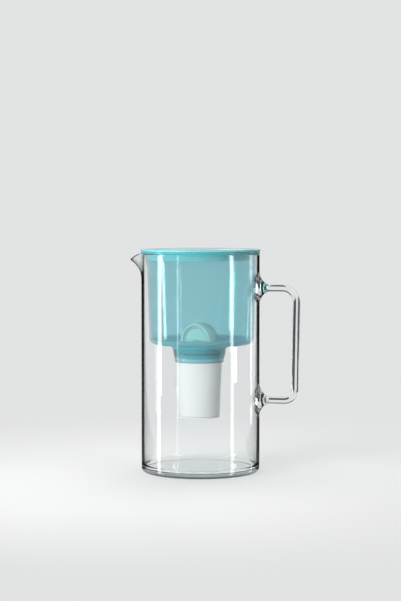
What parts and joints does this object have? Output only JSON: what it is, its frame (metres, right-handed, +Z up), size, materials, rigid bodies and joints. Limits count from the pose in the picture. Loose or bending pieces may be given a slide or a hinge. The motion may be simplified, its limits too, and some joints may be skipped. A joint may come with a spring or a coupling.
{
  "type": "glass water filter pitcher",
  "caption": "Tall clear glass jug with a rod handle and pulled lip, a tinted hopper hanging in its mouth, a tapered filter cartridge and a flat lid with a refill flap.",
  "frame": {"origin": "on the jug's axis, on the flat base that it stands on", "axes": "+Z up, +X towards the handle, -X towards the spout"},
  "size_m": [0.1911, 0.1316, 0.2449],
  "materials": {
    "clear_glass": "polished clear borosilicate",
    "tinted_plastic": "polished tinted clear",
    "aqua_plastic": "satin",
    "white_plastic": "fine matte",
    "mint_plastic": "fine matte",
    "soft_seal": "soft",
    "filter_mesh": "fine mesh",
    "granules": "granular carbon and resin",
    "pin_steel": "drawn",
    "board": "coated",
    "dark_plastic": "matte",
    "led_lens": "clear",
    "contact_brass": "stamped"
  },
  "bodies": {
    "jug": {"glass_jug": "clear_glass", "glass_handle": "clear_glass"},
    "hopper": {"funnel": "tinted_plastic"},
    "cartridge": {"cartridge_cup": "white_plastic", "cartridge_cap": "mint_plastic", "cartridge_seal": "soft_seal", "inlet_screen": "filter_mesh", "outlet_screen": "filter_mesh", "filter_granules": "granules"},
    "lid": {"lid_cover": "aqua_plastic", "lid_plug": "aqua_plastic", "flap_hinge_pin": "pin_steel", "indicator_case": "white_plastic", "indicator_base": "white_plastic", "indicator_gasket": "soft_seal", "indicator_board": "board", "indicator_switch": "dark_plastic", "indicator_led": "led_lens", "coin_cell": "pin_steel", "battery_contact": "contact_brass"},
    "flap": {"refill_flap": "aqua_plastic"},
    "button": {"indicator_button": "mint_plastic"}
  },
  "joints": [
    {"name": "hopper_lift", "type": "slide", "parent": "jug", "child": "hopper", "axis": [0, 0, 1], "range_m": [0, 0.2]},
    {"name": "lid_lift", "type": "slide", "parent": "hopper", "child": "lid", "axis": [0, 0, 1], "range_m": [0, 0.08]},
    {"name": "cartridge_pull", "type": "slide", "parent": "hopper", "child": "cartridge", "axis": [0, 0, 1], "range_m": [0, 0.066]},
    {"name": "flap_hinge", "type": "hinge", "parent": "lid", "child": "flap", "pos_m": [0.012, 0, 0.2429], "axis": [0, 1, 0], "range_deg": [0, 85]},
    {"name": "button_press", "type": "slide", "parent": "lid", "child": "button", "axis": [0, 0, -1], "range_m": [0, 0.0004], "stiffness_N_per_m": 300}
  ]
}
